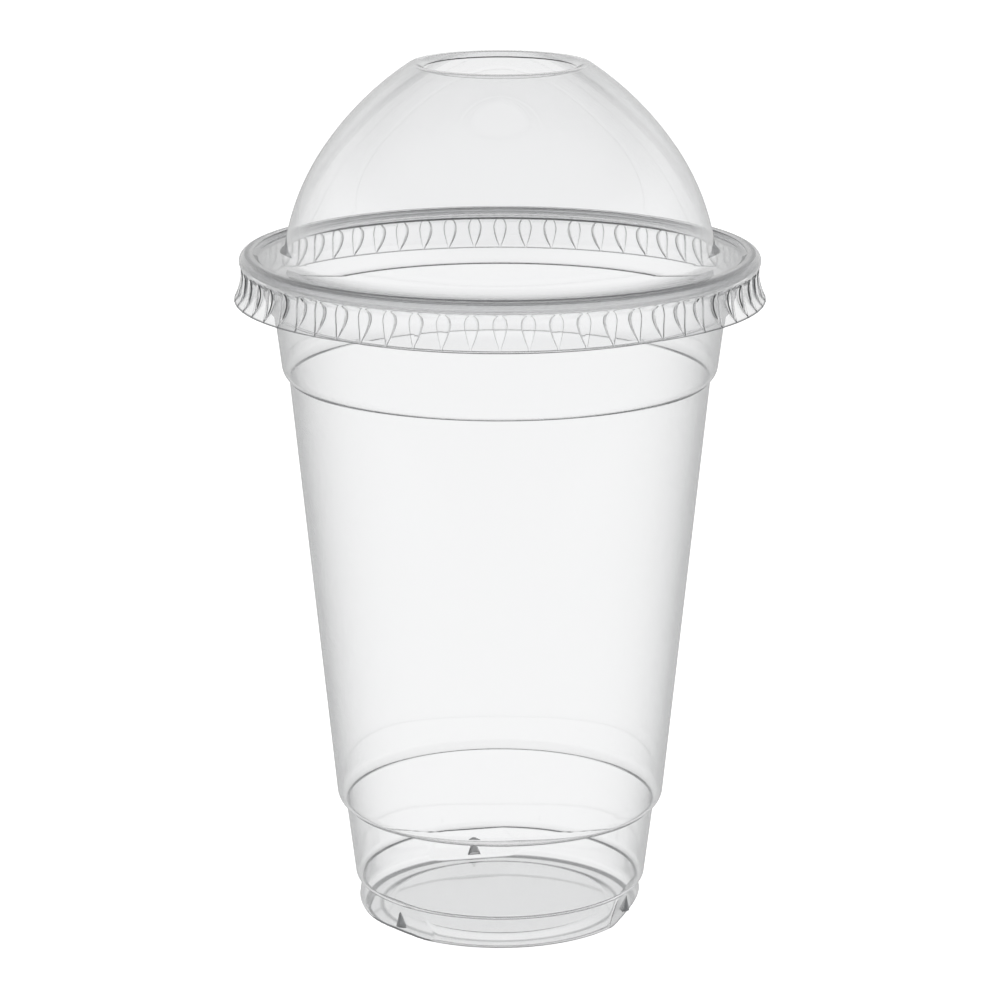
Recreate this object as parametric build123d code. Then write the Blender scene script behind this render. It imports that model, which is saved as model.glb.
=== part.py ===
"""A clear plastic cold-drink cup with a domed lid that snaps over its rolled rim.

Both pieces are thermoformed from thin sheet, so each is one sheet of even wall turned
round the Z axis. The origin is on the surface that the cup stands on, under its centre.
"""
from build123d import *
from build123d.topology import SkipClean
import math
import os

# ---- Driving dimensions, in millimetres and degrees ----

# Cup
CUP_WALL = 0.35
CUP_HEIGHT = 130.35          # to the top of the rolled rim
RIM_D = 97.4                 # over the rolled rim
RIM_BEAD_D = 2.2             # outside of the rolled bead
RIM_CURL = 285.0             # how far round the bead is rolled
FLARE_TAPER = 18.0           # wall just under the rim
STACK_DROP = 10.45           # rim top down to the crease of the rim step
STACK_STEP = 0.76
STACK_ROUND = 1.2
BAND_DROP = 23.5             # rim top down to the crease under the smooth band
BAND_TAPER = 7.2
BAND_STEP = 1.08
BAND_ROUND = 2.9
MAIN_TAPER = 5.82
LOW_STEP_Z = 22.0            # crease at the foot of the main wall
LOW_STEP = 1.44
LOW_ROUND = 2.8
LOWER_TAPER = 7.06
FOOT_H = 6.28                # crease on top of the foot
FOOT_STEP = 1.13
FOOT_STEP_ROUND = 1.4

# Foot of the cup
FOOT_BULGE = 0.55            # foot stands out from the crease above it
FOOT_ROUND = 2.2             # outer bottom corner
FOOT_RIM_W = 4.6             # from the bulge in to the inner edge of the standing ring
PANEL_RISE = 0.93            # raised middle of the bottom
PANEL_SLOPE_W = 2.2
FLAT_COUNT = 3               # flats round the foot, each with one stacking lug
FLAT_FIRST = -18.0           # direction of the first flat
FLAT_HALF_ANGLE = 13.5       # half of the arc that a flat takes from the foot
FLAT_LEAN = 8.7              # the flat leans in towards the bottom
LUG_W = 2.7
LUG_H = 4.0
LUG_OUT = 1.0
LUG_FLOOR = 1.2              # lug's lower end above the standing surface

# Lid
LID_WALL = 0.28
SEAT_GAP = 0.17              # between the rim's top and the lid's underside
RING_CLEAR = 0.49            # between the rim and the lid's ring
SNAP_CLEAR = 0.17            # between the rim and the lid's neck below the ring
RING_ROUND = 1.5
RING_UNDER = 35.0            # how far the ring rolls under, in degrees
SKIRT_H = 8.9                # from the lid ring's top to the skirt's edge
SKIRT_FLARE = 1.35
NECK_H = 1.2                 # straight neck above the flare
CREST_W = 1.3                # flat top of the ring
GROOVE_SLOPE = 40.0
GROOVE_DEPTH = 0.7
FLANGE_W = 8.42              # ring's outside in to the foot of the dome
DOME_FOOT_ROUND = 1.8
DOME_LEAN = 7.0              # dome wall at its foot, from upright
DOME_SIDE_R = 45.5
DOME_SIDE_TURN = 27.0
DOME_CROWN_R = 60.0
LIP_W = 2.9                  # hole's edge out to the crown
LIP_ROUND = 1.6
LIP_FALL = 30.0              # lip falls towards the hole
HOLE_D = 28.7
PUNCH_ALLOWANCE = 1.0        # sheet left inside the hole before it is punched

# Grip ribs round the lid's skirt
RIB_COUNT = 60
RIB_ROUND = 2.2              # radius of a rib's back
RIB_PROUD = 0.42             # rib's back stands out from the neck
RIB_DROP = 4.2               # ring's top down to the centre of the rib's round end

# Places that follow from the sizes above
RIM_R = RIM_D / 2
BEAD_R = RIM_BEAD_D / 2
BEAD_AT = (RIM_R - BEAD_R, CUP_HEIGHT - BEAD_R)
RING_TOP = CUP_HEIGHT + SEAT_GAP + LID_WALL
RING_R = RIM_R + RING_CLEAR + LID_WALL
NECK_R = RIM_R + SNAP_CLEAR + LID_WALL
SKIRT_Z = RING_TOP - SKIRT_H
SKIRT_R = NECK_R + SKIRT_FLARE
RING_MID_Z = RING_TOP - RING_ROUND
RIB_PITCH = 360 / RIB_COUNT
HOLE_R = HOLE_D / 2
SPLIT_Z = FOOT_H + 6.0       # the foot is built apart below this level


def slope(taper):
    """Widening of a wall for each millimetre of height."""
    return math.tan(math.radians(taper))


def at(origin, radius, angle):
    """Point at a radius and an angle from another point."""
    turn = math.radians(angle)
    return (origin[0] + radius * math.cos(turn), origin[1] + radius * math.sin(turn))


def crease_under(wall_point, taper, crease_z, step):
    """Crease at a height, a step inside of the wall through a point."""
    wall_r = wall_point[0] - slope(taper) * (wall_point[1] - crease_z)
    return (wall_r - step / math.cos(math.radians(taper)), crease_z)


def shoulder(crease, step, taper, radius):
    """Rounded shoulder from a crease out to the tapered wall above it, and its upper end."""
    turn = math.degrees(math.acos(1 - step / radius))
    centre = at(crease, radius, 180 - taper - turn)
    upper_end = at(centre, radius, -taper)
    middle = at(centre, radius, -taper - turn / 2)
    return ThreePointArc(crease, middle, upper_end), upper_end


# Creases of the cup, from the rim down: each is where one wall ends on the next.
FLARE_END = at(BEAD_AT, BEAD_R - CUP_WALL, 180 - FLARE_TAPER)
STACK_CREASE = crease_under(FLARE_END, FLARE_TAPER, CUP_HEIGHT - STACK_DROP, STACK_STEP)
BAND_CREASE = crease_under(STACK_CREASE, BAND_TAPER, CUP_HEIGHT - BAND_DROP, BAND_STEP)
LOW_CREASE = crease_under(BAND_CREASE, MAIN_TAPER, LOW_STEP_Z, LOW_STEP)
FOOT_CREASE = crease_under(LOW_CREASE, LOWER_TAPER, FOOT_H, FOOT_STEP)
FOOT_R = FOOT_CREASE[0] + FOOT_BULGE


def foot_line():
    """Outside of the cup's bottom, from the centre out and up to the foot's crease."""
    ring_in = FOOT_R - FOOT_RIM_W
    corner = (FOOT_R - FOOT_ROUND, FOOT_ROUND)
    bottom = Polyline(
        (0, PANEL_RISE),
        (ring_in - PANEL_SLOPE_W, PANEL_RISE),
        (ring_in, 0),
        at(corner, FOOT_ROUND, -90),
    )
    corner_arc = CenterArc(corner, FOOT_ROUND, -90, 90)
    side = Line(at(corner, FOOT_ROUND, 0), FOOT_CREASE)
    return [*bottom.edges(), corner_arc, side]


def wall_line():
    """Outside of the cup's walls, from the foot's crease up to the start of the bead."""
    steps = [
        (FOOT_CREASE, FOOT_STEP, LOWER_TAPER, FOOT_STEP_ROUND, LOW_CREASE),
        (LOW_CREASE, LOW_STEP, MAIN_TAPER, LOW_ROUND, BAND_CREASE),
        (BAND_CREASE, BAND_STEP, BAND_TAPER, BAND_ROUND, STACK_CREASE),
        (STACK_CREASE, STACK_STEP, FLARE_TAPER, STACK_ROUND, FLARE_END),
    ]
    edges = []
    for crease, step, taper, radius, wall_end in steps:
        arc, wall_start = shoulder(crease, step, taper, radius)
        edges += [arc, Line(wall_start, wall_end)]
    return edges


def bead_section():
    """Cross-section of the rolled bead: the sheet goes over the top and back under."""
    start = 180 - FLARE_TAPER
    end = start - RIM_CURL
    inner_r = BEAD_R - CUP_WALL
    outline = [
        CenterArc(BEAD_AT, BEAD_R, start, -RIM_CURL),
        Line(at(BEAD_AT, BEAD_R, end), at(BEAD_AT, inner_r, end)),
        CenterArc(BEAD_AT, inner_r, end, RIM_CURL),
        Line(at(BEAD_AT, inner_r, start), at(BEAD_AT, BEAD_R, start)),
    ]
    return Plane.XZ * make_face(outline)


def sheet(edges, wall, side):
    """Cross-section of a sheet whose outside is the line and whose wall lies on one side."""
    outline = offset(Wire(edges), amount=wall, side=side, closed=True)
    return Plane.XZ * make_face(outline.edges())


def turned(section):
    return revolve(section, Axis.Z, 360)


def below(height):
    """Everything under a level, as a block wider than the cup."""
    return Pos(0, 0, height) * Box(
        4 * RIM_R, 4 * RIM_R, 2 * height, align=(Align.CENTER, Align.CENTER, Align.MAX)
    )


def lug(inset):
    """Stacking lug on a flat, standing out along +X: a cone cut off at its lower end."""
    radius = LUG_W / 2 - inset
    height = LUG_H * radius / (LUG_W / 2)
    cone = Cone(radius, 0.05, height, align=(Align.CENTER, Align.CENTER, Align.MIN))
    return Pos(LUG_OUT - LUG_W / 2, 0, LUG_FLOOR + inset) * cone


def foot_sections():
    """Half sections of the foot and lower wall filled to the axis: outside and inside."""
    arc, wall_start = shoulder(FOOT_CREASE, FOOT_STEP, LOWER_TAPER, FOOT_STEP_ROUND)
    line = [*foot_line(), arc, Line(wall_start, LOW_CREASE)]
    closing = Polyline(LOW_CREASE, (0, LOW_CREASE[1]), (0, PANEL_RISE))
    outside = Plane.XZ * make_face([*line, *closing.edges()])
    return outside, outside - sheet(line, CUP_WALL, Side.LEFT)


def foot_block(section, inset):
    """The foot as a filled block with its flats and lugs, drawn in by an inset."""
    block = turned(section)
    flat_at = FOOT_CREASE[0] * math.cos(math.radians(FLAT_HALF_ANGLE)) - inset
    cutter = Box(FOOT_R, 2 * FOOT_R, 2 * FOOT_H, align=(Align.MIN, Align.CENTER, Align.MAX))
    lean_in = slope(FLAT_LEAN) * (FOOT_H - LUG_FLOOR)
    for index in range(FLAT_COUNT):
        turn = Rot(0, 0, FLAT_FIRST + index * 360 / FLAT_COUNT)
        block -= turn * Pos(flat_at, 0, FOOT_H) * Rot(0, FLAT_LEAN, 0) * cutter
        block += turn * Pos(flat_at + inset - lean_in, 0, 0) * lug(inset)
    return block


def make_cup():
    """Cup: thin walls with three rounded shoulders, a rolled rim and a lugged foot."""
    walls = turned(sheet([*foot_line(), *wall_line()], CUP_WALL, Side.LEFT))
    upper = walls + turned(bead_section()) - below(SPLIT_Z)
    outside, inside = foot_sections()
    foot = (foot_block(outside, 0) - foot_block(inside, CUP_WALL)) & below(SPLIT_Z)
    return upper + foot


def lid_line():
    """Outside of the lid, from the hole's edge out over the dome and down the skirt."""
    flange_z = RING_TOP - GROOVE_DEPTH
    dome_foot = (RING_R - FLANGE_W, flange_z)
    side_at = at(dome_foot, DOME_SIDE_R, 180 + DOME_LEAN)
    foot_rise = flange_z + DOME_FOOT_ROUND - side_at[1]
    foot_angle = math.degrees(math.asin(foot_rise / (DOME_SIDE_R + DOME_FOOT_ROUND)))
    foot_at = at(side_at, DOME_SIDE_R + DOME_FOOT_ROUND, foot_angle)
    crown_at = at(at(side_at, DOME_SIDE_R, DOME_LEAN + DOME_SIDE_TURN), DOME_CROWN_R,
                  180 + DOME_LEAN + DOME_SIDE_TURN)
    crown_end = math.degrees(math.acos((HOLE_R + LIP_W - crown_at[0]) / DOME_CROWN_R))
    lip_at = at(crown_at, DOME_CROWN_R - LIP_ROUND, crown_end)
    lip_start = at(lip_at, LIP_ROUND, 90 + LIP_FALL)
    hole_edge = at(lip_start, HOLE_R - PUNCH_ALLOWANCE - lip_start[0], LIP_FALL)

    ring_at = (RING_R - RING_ROUND, RING_TOP - RING_ROUND)
    crest_in = (ring_at[0] - CREST_W, RING_TOP)
    groove_foot = (crest_in[0] - GROOVE_DEPTH / slope(GROOVE_SLOPE), flange_z)
    ring_under = at(ring_at, RING_ROUND, -RING_UNDER)
    neck_top = (NECK_R, ring_under[1] - 0.25)
    neck_end = (NECK_R, neck_top[1] - NECK_H)

    dome = [
        Line(hole_edge, lip_start),
        CenterArc(lip_at, LIP_ROUND, 90 + LIP_FALL, crown_end - 90 - LIP_FALL),
        CenterArc(crown_at, DOME_CROWN_R, crown_end,
                  DOME_LEAN + DOME_SIDE_TURN - crown_end),
        CenterArc(side_at, DOME_SIDE_R, DOME_LEAN + DOME_SIDE_TURN,
                  foot_angle - DOME_LEAN - DOME_SIDE_TURN),
        CenterArc(foot_at, DOME_FOOT_ROUND, 180 + foot_angle, 90 - foot_angle),
    ]
    flange = [
        Line(at(foot_at, DOME_FOOT_ROUND, -90), groove_foot),
        Line(groove_foot, crest_in),
        Line(crest_in, at(ring_at, RING_ROUND, 90)),
        CenterArc(ring_at, RING_ROUND, 90, -90 - RING_UNDER),
    ]
    skirt = [
        Line(ring_under, neck_top),
        Line(neck_top, neck_end),
        Line(neck_end, (SKIRT_R, SKIRT_Z)),
    ]
    return [*dome, *flange, *skirt]


def rib_bar(inset):
    """Round-ended bar along +X whose back forms one rib; the inset makes the inside."""
    radius = RIB_ROUND - inset
    top = (NECK_R + RIB_PROUD - RIB_ROUND, RING_TOP - RIB_DROP)
    foot = (SKIRT_R - RIB_ROUND, SKIRT_Z)
    lean = math.degrees(math.atan2(foot[0] - top[0], top[1] - foot[1]))
    length = 2 * math.hypot(foot[0] - top[0], foot[1] - top[1])
    bar = Cylinder(radius, length, align=(Align.CENTER, Align.CENTER, Align.MAX))
    return Pos(top[0], 0, top[1]) * Rot(0, -lean, 0) * (bar + Sphere(radius))


def skirt_wedge(section):
    """One rib's share of the skirt below the ring, centred on +X, its rib pressed outward."""
    wedge = Rot(0, 0, -RIB_PITCH / 2) * revolve(section, Axis.Z, RIB_PITCH)
    wedge = split(wedge, bisect_by=Plane.XY.offset(RING_MID_Z), keep=Keep.BOTTOM)
    core = Pos(0, 0, RING_TOP) * Cylinder(NECK_R - LID_WALL / 2, 4 * SKIRT_H)
    wedge = wedge + (rib_bar(0) - core) - rib_bar(LID_WALL)
    return split(wedge, bisect_by=Plane.XY.offset(SKIRT_Z), keep=Keep.TOP)


def make_lid():
    """Dome lid: one sheet, with ribs pressed out of its skirt all the way round."""
    section = sheet(lid_line(), LID_WALL, Side.RIGHT)
    dome = turned(section) - Cylinder(HOLE_R, 4 * CUP_HEIGHT)
    dome = split(dome, bisect_by=Plane.XY.offset(RING_MID_Z), keep=Keep.TOP)
    wedge = skirt_wedge(section)
    wedges = [Rot(0, 0, index * RIB_PITCH - 90) * wedge for index in range(RIB_COUNT)]
    # Faces stay split at every rib: merged ones, holed sixty times, measure badly.
    with SkipClean():
        skirt = wedges[0].fuse(*wedges[1:])
        return dome.fuse(skirt)


def write(shape, node):
    """Save one piece under its name."""
    shape.label = node
    export_step(shape, f"parts/{node}.step")
    size = shape.bounding_box().size
    print(f"{node}: {len(shape.solids())} solid, {shape.volume:.1f} mm3, "
          f"{size.X:.2f} x {size.Y:.2f} x {size.Z:.2f} mm")


os.makedirs("parts", exist_ok=True)
write(make_cup(), "cup")
write(make_lid(), "dome_lid")
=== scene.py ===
# %% [markdown]
# # A clear plastic cup with a domed lid
# The real cup and its lid are each pressed from one thin sheet of clear plastic. What the eye
# sees of such a thing is little more than its edges: the rim, the steps in the wall, the ribs
# of the lid and the foot. So this lesson spends its effort on exact section lines, on thin
# walls with a true inside and outside, and on surroundings for the plastic to bend and mirror.

# %% Load the frame
import math

import bmesh
import bpy
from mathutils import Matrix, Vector


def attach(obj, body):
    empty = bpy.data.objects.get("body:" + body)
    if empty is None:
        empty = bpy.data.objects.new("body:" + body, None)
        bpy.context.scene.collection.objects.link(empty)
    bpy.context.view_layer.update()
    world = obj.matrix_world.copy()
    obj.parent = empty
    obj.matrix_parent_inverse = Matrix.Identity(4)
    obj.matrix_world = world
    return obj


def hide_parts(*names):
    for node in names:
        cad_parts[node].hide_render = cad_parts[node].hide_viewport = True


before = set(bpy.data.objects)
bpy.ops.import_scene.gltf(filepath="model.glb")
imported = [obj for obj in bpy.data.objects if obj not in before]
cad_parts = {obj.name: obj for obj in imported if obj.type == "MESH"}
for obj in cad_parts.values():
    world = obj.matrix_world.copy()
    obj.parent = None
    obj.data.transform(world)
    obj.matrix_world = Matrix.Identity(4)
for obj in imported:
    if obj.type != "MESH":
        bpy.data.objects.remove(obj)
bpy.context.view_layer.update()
MM = 0.001

# %% [markdown]
# ## The view
# A long lens from a little above makes the rim, the ring and the foot into slim ellipses and
# keeps the sides nearly straight. The camera has no shift and everything is sharp.

# %% Camera
camera_data = bpy.data.cameras.new("studio_camera")
camera_data.lens = 144.045
camera_data.sensor_width = 36.0
camera_data.clip_end = 60.0
camera = bpy.data.objects.new("studio_camera", camera_data)
camera.location = (0.0, -0.74674, 0.2718)
camera.rotation_euler = (math.radians(90 - 14.2666), 0.0, 0.0)
bpy.context.scene.collection.objects.link(camera)
bpy.context.scene.camera = camera
print("camera", tuple(round(c, 4) for c in camera.location))

# %% [markdown]
# ## A pen for section lines
# A thermoformed piece is one line turned round an axis. The line is straight walls joined by
# arcs, so the pen knows just those two moves. A straight move pulls a new point out of the
# last one. An arc is the spin operator used on a single point. A long wall gets an extra point
# close to each end, so that the smooth shading of an arc doesn't run out over the flat wall.

# %% The pen
class Pen:
    """Draws a section line in the XZ plane, in millimetres, from one end to the other."""

    def __init__(self, x, z):
        self.mesh = bmesh.new()
        self.tip = bmesh.ops.create_vert(self.mesh, co=(x, 0.0, z))["vert"][0]

    def line(self, x, z, steps=1):
        """Go straight to a point, in equal steps or with a short step at each end."""
        start = self.tip.co.copy()
        way = Vector((x, 0.0, z)) - start
        shares = [index / steps for index in range(1, steps + 1)]
        if steps == 1 and way.length > 3.0:
            shares = [0.35 / way.length, 1 - 0.35 / way.length, 1.0]
        for share in shares:
            self.tip = bmesh.ops.extrude_vert_indiv(self.mesh, verts=[self.tip])["verts"][0]
            self.tip.co = start + way * share
        return self

    def arc(self, centre_x, centre_z, degrees, steps):
        """Turn about a centre. Positive degrees turn to the left of the way outwards."""
        swept = bmesh.ops.spin(self.mesh, geom=[self.tip], cent=(centre_x, 0.0, centre_z),
                               axis=(0.0, -1.0, 0.0), angle=math.radians(degrees),
                               steps=steps, use_merge=False)
        self.tip = swept["geom_last"][0]
        return self


def turned(pen, steps):
    """Turn the pen's line round the Z axis into a closed skin that faces outwards."""
    mesh = pen.mesh
    bmesh.ops.spin(mesh, geom=mesh.verts[:] + mesh.edges[:], cent=(0, 0, 0),
                   axis=(0, 0, 1), angle=math.tau, steps=steps, use_merge=True)
    bmesh.ops.remove_doubles(mesh, verts=mesh.verts[:], dist=0.0005)
    bmesh.ops.recalc_face_normals(mesh, faces=mesh.faces[:])
    widest = max(mesh.faces, key=lambda face: face.calc_area())
    middle = widest.calc_center_median()
    if widest.normal.dot(Vector((middle.x, middle.y, 0.0))) < 0:
        bmesh.ops.reverse_faces(mesh, faces=mesh.faces[:])
    return mesh

# %% [markdown]
# ## From skin to sheet
# Real sheet has two faces, and the light is bent at both. The solidify operator grows the
# second face at an even distance inside the first. A piece is finished with smooth shading
# and sharp edges where the wall really has a corner, and it rides on its body of the frame.

# %% Wall and finish
def walled(mesh, wall):
    """Give a skin its thickness inwards."""
    bmesh.ops.solidify(mesh, geom=mesh.faces[:], thickness=wall)
    return mesh


def finished(mesh, name, node, body):
    """Scale a piece to metres, make it an object and let it stand for its node."""
    bmesh.ops.scale(mesh, vec=(MM, MM, MM), verts=mesh.verts[:])
    data = bpy.data.meshes.new(name)
    mesh.to_mesh(data)
    mesh.free()
    data.shade_smooth()
    data.set_sharp_from_angle(angle=math.radians(32))
    piece = bpy.data.objects.new(name, data)
    bpy.context.scene.collection.objects.link(piece)
    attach(piece, body)
    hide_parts(node)
    low = [round(min(v.co[i] for v in data.vertices) / MM, 2) for i in range(3)]
    high = [round(max(v.co[i] for v in data.vertices) / MM, 2) for i in range(3)]
    print(name, len(data.polygons), "faces, from", low, "to", high, "mm")
    return piece

# %% [markdown]
# ## The cup's section
# From the middle of the bottom the line runs out over the raised panel and down to the ring
# that the cup stands on, round the foot's corner and up. Each shoulder is a sharp crease with
# a round step above it: the crease stops a nested cup, and the steps stiffen the thin wall.
# At the top the sheet is rolled outwards and back under itself, which makes the rim safe to
# drink from and stiff enough to carry a lid.

# %% Cup line
PANEL_RAISED = 0.93          # the middle of the bottom above the standing ring
STANDING_RING = 23.0         # radius where the bottom comes down to the table
FOOT_CREASE = 6.28           # heights of the three sharp creases
LOW_CREASE = 22.0
BAND_CREASE = 106.85

cup_line = Pen(0.0, PANEL_RAISED)
cup_line.line(20.8, PANEL_RAISED).line(STANDING_RING, 0.0, steps=4).line(25.405, 0.0, steps=3)
cup_line.arc(25.405, 2.2, 90, 9)
cup_line.line(27.055, FOOT_CREASE, steps=8).arc(26.956, 7.676, 78.88, 10)
cup_line.line(30.141, LOW_CREASE).arc(29.036, 24.573, 60.94, 10)
cup_line.line(40.237, BAND_CREASE).arc(38.714, 109.318, 51.13, 10)
cup_line.line(42.974, 119.9).arc(42.901, 121.098, 68.49, 8)
cup_line.line(46.887, 129.482).arc(47.6, 129.25, -285, 22)
print("cup line", len(cup_line.mesh.verts), "points")

# %% Cup skin
CUP_COLUMNS = 360
cup_mesh = turned(cup_line, CUP_COLUMNS)
print("cup skin", len(cup_mesh.faces), "faces")

# %% [markdown]
# ## Flats and lugs on the foot
# Three shallow flats are pressed into the foot, and on each stands a small pointed lug. In a
# stack the lugs keep a film of air between the cups, so that they come apart again. A flat is
# every point of the foot pulled back to a leaning plane. For a lug the faces round it are
# divided finely first, and then pushed out in the shape of half a cone. A value on each point
# marks these points for painted shade: the lugs and tight corners of the sheet are painted darker.

# %% Flats and lugs
FLAT_TURNS = [math.radians(angle) for angle in (-18.0, 102.0, 222.0)]
FLAT_WAYS = [Vector((math.cos(turn), math.sin(turn), 0.0)) for turn in FLAT_TURNS]
FLAT_AT = 26.31              # plane of a flat from the axis, at the foot's crease
FLAT_LEAN = math.tan(math.radians(8.7))

for out in FLAT_WAYS:
    for vert in cup_mesh.verts:
        over = vert.co.dot(out) - FLAT_AT + FLAT_LEAN * (FOOT_CREASE - vert.co.z)
        if vert.co.z < FOOT_CREASE + 0.02 and over > 0:
            vert.co -= out * over
print("flats", len(FLAT_WAYS))

# %% Lugs
LUG_HALF = 1.35              # half a lug's width at its foot
LUG_LOW = 1.2                # height of its foot above the table
LUG_TALL = 4.0
LUG_SUNK = 0.35              # how deep the half cone's axis lies in the flat
FOOT_ZONE = 23.5             # points further out than this belong to the foot's wall

# a value per point for painted shade: how much the plastic's colour is darkened there
painted_shade = cup_mesh.verts.layers.float.new("painted_shade")
for out in FLAT_WAYS:
    side = Vector((-out.y, out.x, 0.0))
    near = []
    for face in cup_mesh.faces:
        middle = face.calc_center_median()
        if middle.dot(out) > FOOT_ZONE and abs(middle.dot(side)) < 2.1 and 0.5 < middle.z < 6.0:
            near.append(face)
    edges = list({shade_amount for face in near for shade_amount in face.edges})
    bmesh.ops.subdivide_edges(cup_mesh, edges=edges, cuts=3, use_grid_fill=True)
    for vert in cup_mesh.verts:
        across, up = vert.co.dot(side), vert.co.z - LUG_LOW
        half = LUG_HALF * (1 - up / LUG_TALL)
        if vert.co.dot(out) > FOOT_ZONE and 0 <= up <= LUG_TALL and abs(across) < half:
            proud = math.sqrt(half * half - across * across) - LUG_SUNK
            vert.co += out * max(0.0, proud)
            # painted shade on the lug
            vert[painted_shade] = 0.6 if proud > 0 else 0.0
print("cup with lugs", len(cup_mesh.faces), "faces")

# %% Painted shade in the corners of the bottom
# painted shade along the foot's rounded bottom corner and along the standing ring
for vert in cup_mesh.verts:
    from_axis = math.hypot(vert.co.x, vert.co.y)
    if 0.01 < vert.co.z < 0.35 and from_axis > 24.5:
        vert[painted_shade] = 0.5
    if vert.co.z < 0.01 and abs(from_axis - STANDING_RING) < 0.05:
        vert[painted_shade] = 0.3
print("pressed points", sum(vert[painted_shade] > 0 for vert in cup_mesh.verts))

# %% Cup piece
CUP_WALL = 0.35
cup = finished(walled(cup_mesh, CUP_WALL), "clear_cup", "cup", "cup")

# %% [markdown]
# ## The lid's section
# The line starts at the edge of the punched hole, goes over a small rounded lip and down the
# dome, which is three arcs that run into each other. At its foot it turns out into a flat
# flange with a shallow groove, over the ring that takes the cup's rim, and down the skirt.

# %% Lid line
SKIRT_BEND = 127.0           # the skirt goes straight down to here and then flares
SKIRT_EDGE = 121.9
RING_TOP = 130.8

lid_line = Pen(14.35, 165.66)
lid_line.line(15.56, 166.359, steps=2).arc(16.36, 164.973, -63.8, 6)
lid_line.arc(-16.132, 116.447, -22.195, 8).arc(-4.111, 124.555, -25.067, 10)
lid_line.arc(42.615, 131.9, 81.067, 6)
lid_line.line(45.836, 130.1, steps=3).line(46.67, RING_TOP, steps=2).line(47.97, RING_TOP, steps=2)
lid_line.arc(47.97, 129.3, -125, 11)
lid_line.line(49.15, 128.1).line(49.15, SKIRT_BEND, steps=4).line(50.5, SKIRT_EDGE, steps=14)
print("lid line", len(lid_line.mesh.verts), "points")

# %% [markdown]
# ## Ribs round the skirt
# Sixty ribs make the skirt springy and give the fingers a grip. Each is a drop shape: round
# under the ring, pointed at the skirt's edge. The neck between them is drawn in to snap under
# the rim. Ten columns of the skin serve each rib. They are moved together so that they follow
# the drop's outline, because a pressed rib has crisp edges and these catch the light. The
# columns at a rib's edges also get painted shade, a darker colour for the plastic.

# %% Lid skin and ribs
RIBS = 60
RIB_COLUMNS = 10
RIB_HALF = 1.36              # half a rib's width where it is widest
RIB_MIDDLE = 126.3           # height of its widest place
RIB_TOP = 128.2
RIB_DEPTH = 0.6
COLUMN_PLACE = (0.0, 0.5, 0.82, 0.95, 1.0)       # from a rib's middle to its edge
COLUMN_PROUD = (1.0, 0.95, 0.8, 0.42, 0.0)       # how far each stands out there
# the third list is painted shade: how much darker each column's colour is made
COLUMN_PAINTED_SHADE = (0.0, 0.0, 0.04, 0.34, 0.0)     # and how smoky it is
lid_mesh = turned(lid_line, RIBS * RIB_COLUMNS)


def rib_half_width(z):
    """Half the width of the drop at a height."""
    if z > RIB_MIDDLE:
        share = (z - RIB_MIDDLE) / (RIB_TOP - RIB_MIDDLE)
        return RIB_HALF * math.sqrt(max(0.04, 1 - share * share))
    share = (RIB_MIDDLE - z) / (RIB_MIDDLE - SKIRT_EDGE)
    return RIB_HALF * max(0.16, 1 - share ** 1.5)


def flare(z):
    """0 down to the skirt's bend, and 1 at its edge."""
    return max(0.0, SKIRT_BEND - z) / (SKIRT_BEND - SKIRT_EDGE)


def rib_radius(z):
    """Outside of the skirt along the ribs."""
    return 49.2 + 1.3 * flare(z) ** 1.9


def neck_depth(z):
    """How far the skirt between the ribs is drawn in."""
    return 0.05 + RIB_DEPTH * (1 - flare(z) ** 3) * min(1.0, max(0.0, RIB_TOP + 0.1 - z))


painted_shade = lid_mesh.verts.layers.float.new("painted_shade")
for vert in lid_mesh.verts:
    z = vert.co.z
    if z > RIB_TOP or math.hypot(vert.co.x, vert.co.y) < 48.5:
        continue
    column = math.atan2(vert.co.x, -vert.co.y) / math.tau * RIBS * RIB_COLUMNS
    rib = round(column / RIB_COLUMNS)
    offset = round(column - rib * RIB_COLUMNS)
    turn = rib * math.tau / RIBS
    radius = rib_radius(z) - neck_depth(z)
    if abs(offset) < len(COLUMN_PLACE):
        side = math.copysign(COLUMN_PLACE[abs(offset)], offset)
        turn += side * rib_half_width(z) / radius
        radius += neck_depth(z) * COLUMN_PROUD[abs(offset)]
        # painted shade along the rib's edges
        vert[painted_shade] = COLUMN_PAINTED_SHADE[abs(offset)]
    else:
        turn += math.copysign(math.pi / RIBS, offset)
    vert.co.x = radius * math.sin(turn)
    vert.co.y = -radius * math.cos(turn)
print("lid skin", len(lid_mesh.faces), "faces")

# %% Painted shade along the ring's top
for vert in lid_mesh.verts:
    if vert.co.z > RING_TOP - 0.2 and 47.9 < math.hypot(vert.co.x, vert.co.y) < 48.5:
        vert[painted_shade] = 0.4
print("pressed points", sum(vert[painted_shade] > 0 for vert in lid_mesh.verts))

# %% Lid piece
LID_WALL = 0.28
lid = finished(walled(lid_mesh, LID_WALL), "clear_dome_lid", "dome_lid", "lid")

# %% [markdown]
# ## Shader maths
# A material is easier to read as arithmetic than as boxes and wires. A Number wraps a socket,
# and each sign used on it adds the Math node that does it. Every other node comes from one
# method that takes its type, its settings and its inputs.

# %% Shader helpers
class Number:
    """A number socket that takes part in plain arithmetic."""

    def __init__(self, graph, socket):
        self.graph = graph
        self.socket = socket

    def math(self, operation, *values):
        inputs = dict(enumerate(values))
        node = self.graph.node("ShaderNodeMath", {"operation": operation}, inputs)
        return Number(self.graph, node.outputs[0])

    def __add__(self, other): return self.math("ADD", self, other)
    def __radd__(self, other): return self.math("ADD", other, self)
    def __sub__(self, other): return self.math("SUBTRACT", self, other)
    def __rsub__(self, other): return self.math("SUBTRACT", other, self)
    def __mul__(self, other): return self.math("MULTIPLY", self, other)
    def __rmul__(self, other): return self.math("MULTIPLY", other, self)
    def __truediv__(self, other): return self.math("DIVIDE", self, other)
    def __pow__(self, other): return self.math("POWER", self, other)
    def most(self, other): return self.math("MAXIMUM", self, other)
    def least(self, other): return self.math("MINIMUM", self, other)


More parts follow.
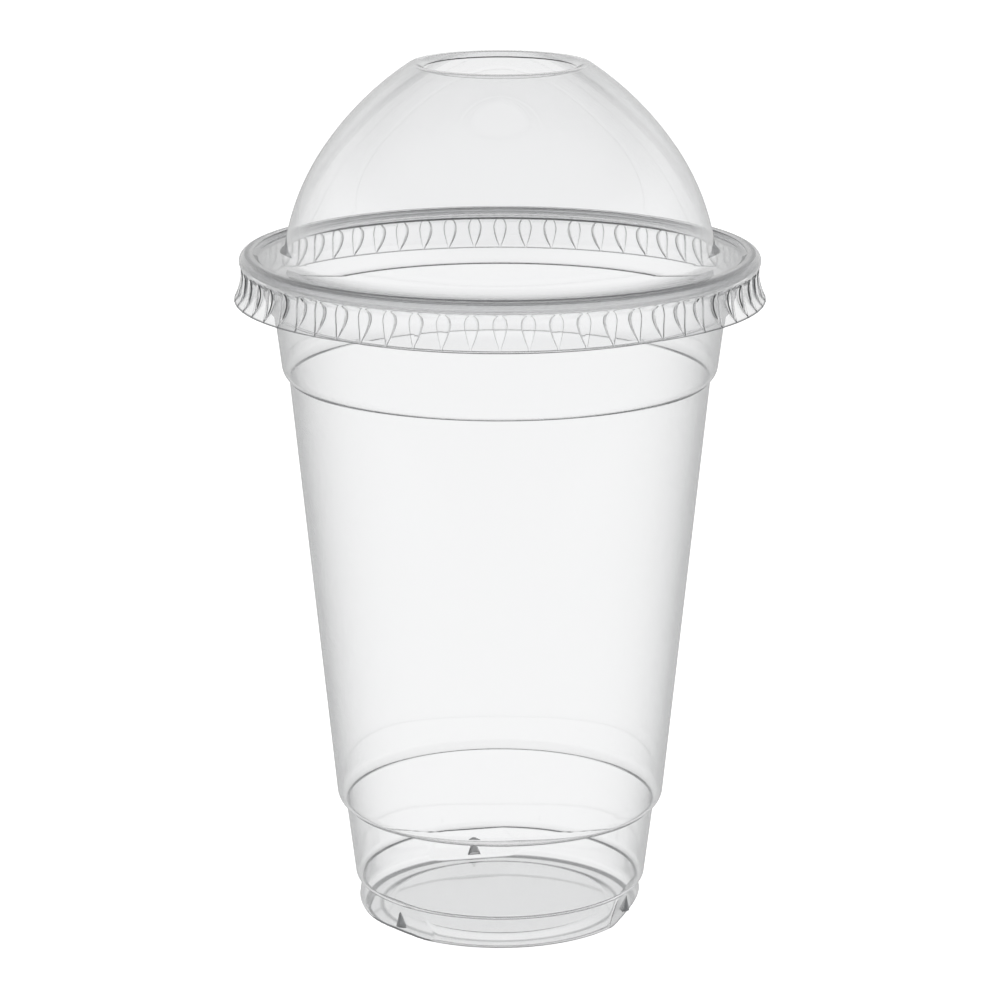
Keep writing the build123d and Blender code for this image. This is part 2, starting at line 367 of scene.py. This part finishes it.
class Graph:
    """The nodes of one material or world."""

    def __init__(self, owner):
        owner.use_nodes = True
        self.tree = owner.node_tree
        self.tree.nodes.clear()

    def node(self, kind, settings=None, inputs=None):
        made = self.tree.nodes.new(kind)
        for name, value in (settings or {}).items():
            setattr(made, name, value)
        for name, value in (inputs or {}).items():
            socket = made.inputs[name]
            if isinstance(value, Number):
                value = value.socket
            if isinstance(value, bpy.types.NodeSocket):
                self.tree.links.new(value, socket)
            else:
                socket.default_value = value
        return made

    def number(self, kind, output=0, settings=None, inputs=None):
        return Number(self, self.node(kind, settings, inputs).outputs[output])

# %% [markdown]
# ## Clear plastic
# Clear drinking-cup plastic bends light a little more than window glass does, and a sheet of
# it takes a trace of grey from what is behind it. Pressing leaves the surface with very faint
# waves, finer round the piece than up it, and handling leaves it a little less glossy in
# patches. The dark edges, outlines and creases are painted shade: a Layer Weight node mixes in
# some dark grey plastic where the sheet is seen edge on, and heights and a per-point value add
# more.

# %% Plastic material
def clear_plastic(name, tint, wave, edge_shade, crease_shades):
    """Clear thin plastic with faint forming waves, and painted shade along edges and creases."""
    material = bpy.data.materials.new(name)
    graph = Graph(material)
    place = graph.node("ShaderNodeTexCoord").outputs["Object"]
    stretched = graph.node("ShaderNodeMapping", inputs={"Vector": place, "Scale": (1, 1, 0.25)})
    waves = graph.number("ShaderNodeTexNoise", "Fac",
                         inputs={"Vector": stretched.outputs[0], "Scale": 55.0, "Detail": 1.0})
    patches = graph.number("ShaderNodeTexNoise", "Fac",
                           inputs={"Vector": place, "Scale": 30.0, "Detail": 3.0})
    bump = graph.node("ShaderNodeBump", inputs={"Strength": wave, "Distance": 0.001,
                                                "Height": waves.socket})
    gloss = graph.node("ShaderNodeBsdfPrincipled", inputs={
        "Base Color": tint, "IOR": 1.5, "Transmission Weight": 1.0,
        "Roughness": patches * 0.03 + 0.005, "Normal": bump.outputs[0]})
    # dark grey plastic, mixed in as painted shade
    shade_plastic = graph.node("ShaderNodeBsdfPrincipled", inputs={
        "Base Color": (0.16, 0.165, 0.17, 1), "Roughness": patches * 0.1 + 0.2})
    facing = graph.number("ShaderNodeLayerWeight", "Facing", inputs={"Blend": 0.5})
    level = graph.number("ShaderNodeSeparateXYZ", "Z", inputs={"Vector": place})
    painted_shade_in = graph.number("ShaderNodeAttribute", "Fac",
                              settings={"attribute_name": "painted_shade"})
    # how much painted shade: edges seen edge on, the outline, and the painted points
    shade_amount = (facing ** 3.4) * edge_shade + (facing ** 12.0) * 0.8 + painted_shade_in
    # painted shade along creases and bands at given heights, stronger when seen edge on
    for height, reach, strength, by_angle in crease_shades:
        away = level - height * MM
        away = away.math("ABSOLUTE", away)
        near = (1.0 - away / (reach * MM)).most(0.0)
        shade_amount = shade_amount + near * (facing ** by_angle) * strength
    shade_amount = shade_amount.least(0.93)
    seen = graph.node("ShaderNodeMixShader",
                      inputs={0: shade_amount, 1: gloss.outputs[0], 2: shade_plastic.outputs[0]})
    lamp_ray = graph.node("ShaderNodeLightPath").outputs["Is Shadow Ray"]
    passing = graph.node("ShaderNodeBsdfTransparent", inputs={"Color": (0.93, 0.935, 0.94, 1)})
    both = graph.node("ShaderNodeMixShader",
                      inputs={0: lamp_ray, 1: seen.outputs[0], 2: passing.outputs[0]})
    graph.node("ShaderNodeOutputMaterial", inputs={"Surface": both.outputs[0]})
    print("material", name, len(graph.tree.nodes), "nodes")
    return material


# %% Cup and lid plastic
# painted shade along a crease or band: its height, reach and strength, and how much it hangs on
# the angle it is seen at
CUP_CREASE_SHADES = ((FOOT_CREASE, 0.25, 4.0, 2.0), (LOW_CREASE, 0.25, 4.0, 2.0),
               (BAND_CREASE, 0.25, 12.0, 3.0), (129.3, 1.6, 0.07, 0.0))
LID_CREASE_SHADES = ((SKIRT_EDGE, 0.25, 8.0, 2.0), (129.4, 1.5, 0.13, 0.0))
WAVES = 0.02
# the number after the waves is the strength of the painted shade along edges seen edge on
cup_plastic = clear_plastic("cup_plastic", (0.97, 0.972, 0.974, 1), WAVES, 0.9, CUP_CREASE_SHADES)
lid_plastic = clear_plastic("lid_plastic", (0.975, 0.977, 0.98, 1), WAVES, 0.5, LID_CREASE_SHADES)
cup.data.materials.append(cup_plastic)
lid.data.materials.append(lid_plastic)

# %% [markdown]
# ## Floor and surroundings
# Clear plastic shows only what is around it. A pale floor and an even white room would leave
# it nearly invisible, so the room is white low down, where the eye looks through the plastic,
# and darker overhead, which greys the dome and the ring. Two soft lamps give the floor its faint
# shadow and light the dark grey plastic of the painted shade. The floor is white to the camera,
# and nearly even to rays that went through or off the plastic, so that the cup's own shadow
# doesn't darken its inside.

# %% Floor
floor_mesh = bmesh.new()
bmesh.ops.create_grid(floor_mesh, x_segments=2, y_segments=2, size=12.0)
floor_data = bpy.data.meshes.new("floor")
floor_mesh.to_mesh(floor_data)
floor_mesh.free()
floor = bpy.data.objects.new("floor", floor_data)
floor.location.z = -0.0002
bpy.context.scene.collection.objects.link(floor)
floor_material = bpy.data.materials.new("pale_floor")
floor_graph = Graph(floor_material)
path = floor_graph.node("ShaderNodeLightPath")
seen_glow = Number(floor_graph, path.outputs["Is Camera Ray"]) * 0.75
through = Number(floor_graph, path.outputs["Is Glossy Ray"])
through = through.most(Number(floor_graph, path.outputs["Is Transmission Ray"]))
paint = floor_graph.node("ShaderNodeBsdfDiffuse", inputs={"Color": (0.8, 0.8, 0.8, 1)})
glow = floor_graph.node("ShaderNodeEmission", inputs={"Strength": seen_glow})
lit = floor_graph.node("ShaderNodeAddShader", inputs={0: paint.outputs[0], 1: glow.outputs[0]})
even = floor_graph.node("ShaderNodeEmission", inputs={"Strength": 1.08})
shown = floor_graph.node("ShaderNodeMixShader",
                         inputs={0: through * 0.8, 1: lit.outputs[0], 2: even.outputs[0]})
floor_graph.node("ShaderNodeOutputMaterial", inputs={"Surface": shown.outputs[0]})
floor_data.materials.append(floor_material)
print("floor", tuple(floor.dimensions))

# %% World
world = bpy.data.worlds.new("white_room")
bpy.context.scene.world = world
room = Graph(world)
up = room.node("ShaderNodeSeparateXYZ",
               inputs={"Vector": room.node("ShaderNodeTexCoord").outputs["Generated"]})
height = Number(room, up.outputs["Z"])
ceiling = room.number("ShaderNodeMapRange", settings={"interpolation_type": "SMOOTHSTEP"},
                      inputs={"Value": height, "From Min": 0.25, "From Max": 0.65,
                              "To Min": 1.0, "To Max": 0.3})
camera_ray = Number(room, room.node("ShaderNodeLightPath").outputs["Is Camera Ray"])
level = camera_ray.most(ceiling)
background = room.node("ShaderNodeBackground", inputs={"Color": (1, 1, 1, 1), "Strength": level})
room.node("ShaderNodeOutputWorld", inputs={"Surface": background.outputs[0]})
print("world", len(room.tree.nodes), "nodes")

# %% Lamps
def soft_lamp(name, place, width, height, power):
    """A large soft lamp that looks at the middle of the object."""
    data = bpy.data.lights.new(name, "AREA")
    data.shape = "RECTANGLE"
    data.size, data.size_y, data.energy = width, height, power
    lamp = bpy.data.objects.new(name, data)
    lamp.location = place
    aim = Vector((0.0, 0.0, 0.09)) - Vector(place)
    lamp.rotation_euler = aim.to_track_quat("-Z", "Y").to_euler()
    lamp.visible_glossy = False
    lamp.visible_transmission = False
    bpy.context.scene.collection.objects.link(lamp)
    return lamp


for name, x in (("lamp_left", -1.0), ("lamp_right", 1.0)):
    lamp = soft_lamp(name, (x, -0.7, 0.75), 0.5, 0.9, 6.0)
    print(name, tuple(round(c, 2) for c in lamp.location), "power", lamp.data.energy)

# %% [markdown]
# ## Settings
# A look through the lid and the cup crosses eight faces of sheet, and each is one bounce. The
# limit leaves a few more for reflections, and past that the time grows and the picture doesn't.

# %% Settings
scene = bpy.context.scene
scene.view_settings.view_transform = "Standard"
scene.cycles.max_bounces = 12
scene.cycles.transmission_bounces = 12
scene.cycles.diffuse_bounces = 2
scene.cycles.glossy_bounces = 4
print("bounces", scene.cycles.max_bounces)
